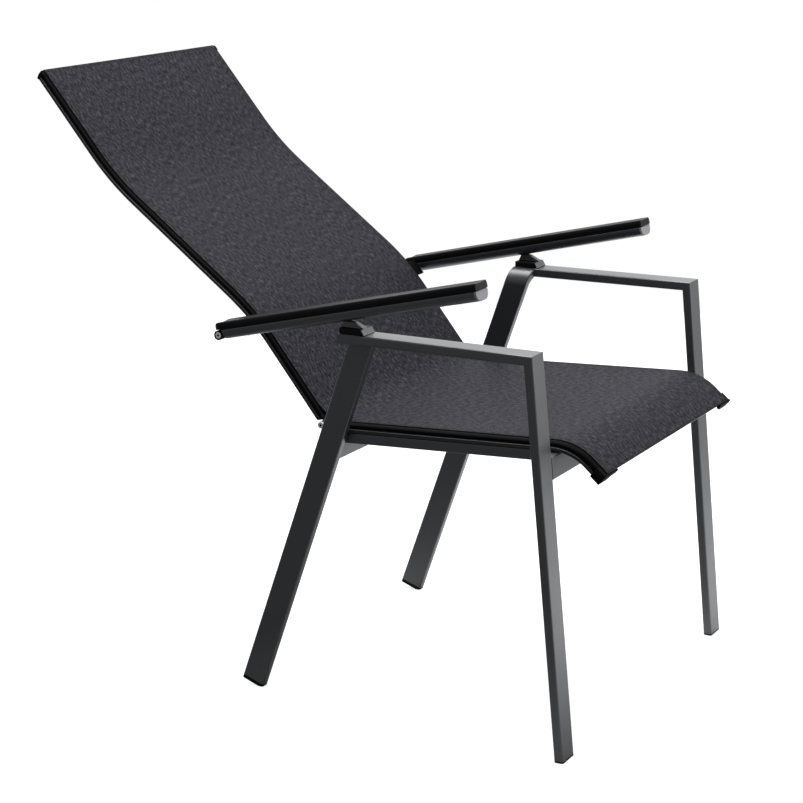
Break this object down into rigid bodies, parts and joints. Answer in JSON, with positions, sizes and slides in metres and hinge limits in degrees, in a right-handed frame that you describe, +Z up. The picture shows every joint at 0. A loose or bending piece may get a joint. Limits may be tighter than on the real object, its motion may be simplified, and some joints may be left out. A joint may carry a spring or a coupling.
{
  "type": "sling patio chair",
  "caption": "Stacking patio recliner with a high textile sling back, flat-tube aluminium frame, and armrests that pivot on the back and latch on the side bars.",
  "frame": {"origin": "on the floor, in the middle of the chair's bounding box seen from above", "axes": "+Z up, -Y towards the front of the seat, +X towards the sitter's left; the chair is the same on both sides of the X = 0 plane"},
  "size_m": [0.6, 0.9268, 0.8988],
  "materials": {
    "coated_aluminium": "matte",
    "rail_aluminium": "matte",
    "black_plastic": "matte",
    "grey_plastic": "satin",
    "stainless_steel": "satin",
    "sling_fabric": "matte"
  },
  "bodies": {
    "frame": {"front_leg_right": "coated_aluminium", "rear_leg_right": "coated_aluminium", "side_bar_right": "coated_aluminium", "bar_end_cap_right": "black_plastic", "front_glide_right": "black_plastic", "rear_glide_right": "black_plastic", "seat_stretcher_right": "coated_aluminium", "arm_support_right": "black_plastic", "latch_pin_right": "stainless_steel", "seat_rail_right": "rail_aluminium", "seat_keder_right": "black_plastic", "seat_front_cap_right": "black_plastic", "seat_hinge_lug_right": "stainless_steel", "hinge_bolt_right": "stainless_steel", "hinge_nut_right": "stainless_steel", "front_leg_left": "coated_aluminium", "rear_leg_left": "coated_aluminium", "side_bar_left": "coated_aluminium", "bar_end_cap_left": "black_plastic", "front_glide_left": "black_plastic", "rear_glide_left": "black_plastic", "seat_stretcher_left": "coated_aluminium", "arm_support_left": "black_plastic", "latch_pin_left": "stainless_steel", "seat_rail_left": "rail_aluminium", "seat_keder_left": "black_plastic", "seat_front_cap_left": "black_plastic", "seat_hinge_lug_left": "stainless_steel", "hinge_bolt_left": "stainless_steel", "hinge_nut_left": "stainless_steel", "front_cross_tube": "coated_aluminium", "rear_cross_tube": "coated_aluminium", "seat_front_spreader": "rail_aluminium", "seat_sling": "sling_fabric"},
    "back": {"back_rail_right": "rail_aluminium", "back_keder_right": "black_plastic", "back_top_cap_right": "black_plastic", "back_hinge_lug_right": "stainless_steel", "arm_bracket_right": "black_plastic", "arm_pivot_bolt_right": "stainless_steel", "back_rail_left": "rail_aluminium", "back_keder_left": "black_plastic", "back_top_cap_left": "black_plastic", "back_hinge_lug_left": "stainless_steel", "arm_bracket_left": "black_plastic", "arm_pivot_bolt_left": "stainless_steel", "back_top_spreader": "rail_aluminium", "back_lower_spreader": "rail_aluminium", "back_sling": "sling_fabric"},
    "arm_right": {"arm_rail_right": "coated_aluminium", "arm_pad_right": "black_plastic", "arm_front_cap_right": "grey_plastic", "arm_rack_right": "black_plastic", "arm_pivot_block_right": "black_plastic"},
    "arm_left": {"arm_rail_left": "coated_aluminium", "arm_pad_left": "black_plastic", "arm_front_cap_left": "grey_plastic", "arm_rack_left": "black_plastic", "arm_pivot_block_left": "black_plastic"}
  },
  "joints": [
    {"name": "back_recline", "type": "hinge", "parent": "frame", "child": "back", "pos_m": [0, -0.01826, 0.4135], "axis": [1, 0, 0], "range_deg": [0, 31]},
    {"name": "arm_pivot_right", "type": "hinge", "parent": "back", "child": "arm_right", "pos_m": [-0.28175, 0.11173, 0.5445], "axis": [1, 0, 0], "range_deg": [-18.2, 0]},
    {"name": "arm_pivot_left", "type": "hinge", "parent": "back", "child": "arm_left", "pos_m": [0.28175, 0.11173, 0.5445], "axis": [1, 0, 0], "range_deg": [-18.2, 0]}
  ],
  "couplings": [
    {"joint": "arm_pivot_right", "follows": "back_recline", "ratio": -0.58387},
    {"joint": "arm_pivot_left", "follows": "back_recline", "ratio": -0.58387}
  ]
}
